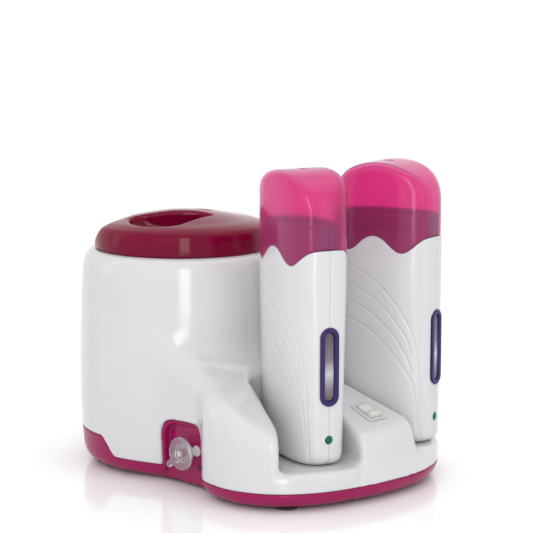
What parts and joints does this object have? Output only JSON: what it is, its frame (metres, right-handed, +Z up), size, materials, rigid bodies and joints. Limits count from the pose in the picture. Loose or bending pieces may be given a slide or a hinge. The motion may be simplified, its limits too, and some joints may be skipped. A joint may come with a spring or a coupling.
{
  "type": "wax warmer",
  "caption": "Salon wax station: round heated wax pot with clear tinted lid, joined to a low sloping dock that holds upright capped roll-on cartridge heaters.",
  "frame": {"origin": "on the table under the middle of the object's box", "axes": "+Z up, +X from the wax pot towards the dock's nose, -Y out of the control panel"},
  "size_m": [0.247, 0.1867, 0.2096],
  "materials": {
    "white_abs": "glossy",
    "raspberry_abs": "semi-gloss",
    "ruby_clear": "glossy, tinted clear",
    "pink_clear": "glossy, tinted clear",
    "frosted_clear": "clear, lightly frosted",
    "window_clear": "clear",
    "smoked_lens": "dark lens",
    "green_lens": "glossy lens",
    "indigo_plastic": "semi-gloss",
    "cream_plastic": "semi-gloss",
    "black_plastic": "matt",
    "rubber": "matt",
    "aluminium": "satin",
    "steel": "bright",
    "brass": "bright",
    "mica": "matt laminate",
    "ceramic_fibre": "matt",
    "wire": "matt sleeve"
  },
  "bodies": {
    "housing": {"upper_housing": "white_abs", "base_tray": "raspberry_abs", "heating_well": "aluminium", "well_ring": "black_plastic", "heater_band": "mica", "insulation_sleeve": "ceramic_fibre", "pot_thermal_fuse": "brass", "thermostat_body": "black_plastic", "panel_disc": "white_abs", "pilot_lamp": "smoked_lens", "switch_frame": "cream_plastic", "power_inlet": "black_plastic", "inlet_pin_1": "brass", "inlet_pin_2": "brass", "terminal_block": "ceramic_fibre", "front_dock_connector": "black_plastic", "rear_dock_connector": "black_plastic", "foot_1": "rubber", "foot_2": "rubber", "foot_3": "rubber", "foot_4": "rubber", "base_screw_1": "steel", "base_screw_2": "steel", "base_screw_3": "steel", "base_screw_4": "steel", "lead_inlet": "wire", "lead_heater": "wire", "lead_switch": "wire"},
    "bucket": {"inner_bucket": "aluminium"},
    "lid": {"pot_lid": "ruby_clear"},
    "knob": {"thermostat_knob": "frosted_clear", "knob_screw": "steel"},
    "rocker": {"rocker_button": "cream_plastic"},
    "front_rollon": {"front_rollon_near_shell": "white_abs", "front_rollon_far_shell": "white_abs", "front_rollon_heating_sleeve": "aluminium", "front_rollon_ptc_heater": "ceramic_fibre", "front_rollon_thermal_fuse": "brass", "front_rollon_socket": "black_plastic", "front_rollon_window_bezel": "indigo_plastic", "front_rollon_window_lens": "window_clear", "front_rollon_led": "green_lens"},
    "front_cap": {"front_cap": "pink_clear"},
    "rear_rollon": {"rear_rollon_near_shell": "white_abs", "rear_rollon_far_shell": "white_abs", "rear_rollon_heating_sleeve": "aluminium", "rear_rollon_ptc_heater": "ceramic_fibre", "rear_rollon_thermal_fuse": "brass", "rear_rollon_socket": "black_plastic", "rear_rollon_window_bezel": "indigo_plastic", "rear_rollon_window_lens": "window_clear", "rear_rollon_led": "green_lens"},
    "rear_cap": {"rear_cap": "pink_clear"}
  },
  "joints": [
    {"name": "bucket_lift", "type": "slide", "parent": "housing", "child": "bucket", "axis": [0, 0, 1], "range_m": [0, 0.1]},
    {"name": "lid_lift", "type": "slide", "parent": "bucket", "child": "lid", "axis": [0, 0, 1], "range_m": [0, 0.1]},
    {"name": "knob_turn", "type": "hinge", "parent": "housing", "child": "knob", "pos_m": [0.0133, -0.0745, 0.0235], "axis": [0, 1, 0], "range_deg": [0, 270]},
    {"name": "rocker_press", "type": "hinge", "parent": "housing", "child": "rocker", "pos_m": [0.0919, 0.0115, 0.0496], "axis": [0, 1, 0], "range_deg": [0, 18]},
    {"name": "front_rollon_lift", "type": "slide", "parent": "housing", "child": "front_rollon", "axis": [0, 0, 1], "range_m": [0, 0.09]},
    {"name": "front_cap_pull", "type": "slide", "parent": "front_rollon", "child": "front_cap", "axis": [0, 0, 1], "range_m": [0, 0.05]},
    {"name": "rear_rollon_lift", "type": "slide", "parent": "housing", "child": "rear_rollon", "axis": [0, 0, 1], "range_m": [0, 0.09]},
    {"name": "rear_cap_pull", "type": "slide", "parent": "rear_rollon", "child": "rear_cap", "axis": [0, 0, 1], "range_m": [0, 0.05]}
  ]
}
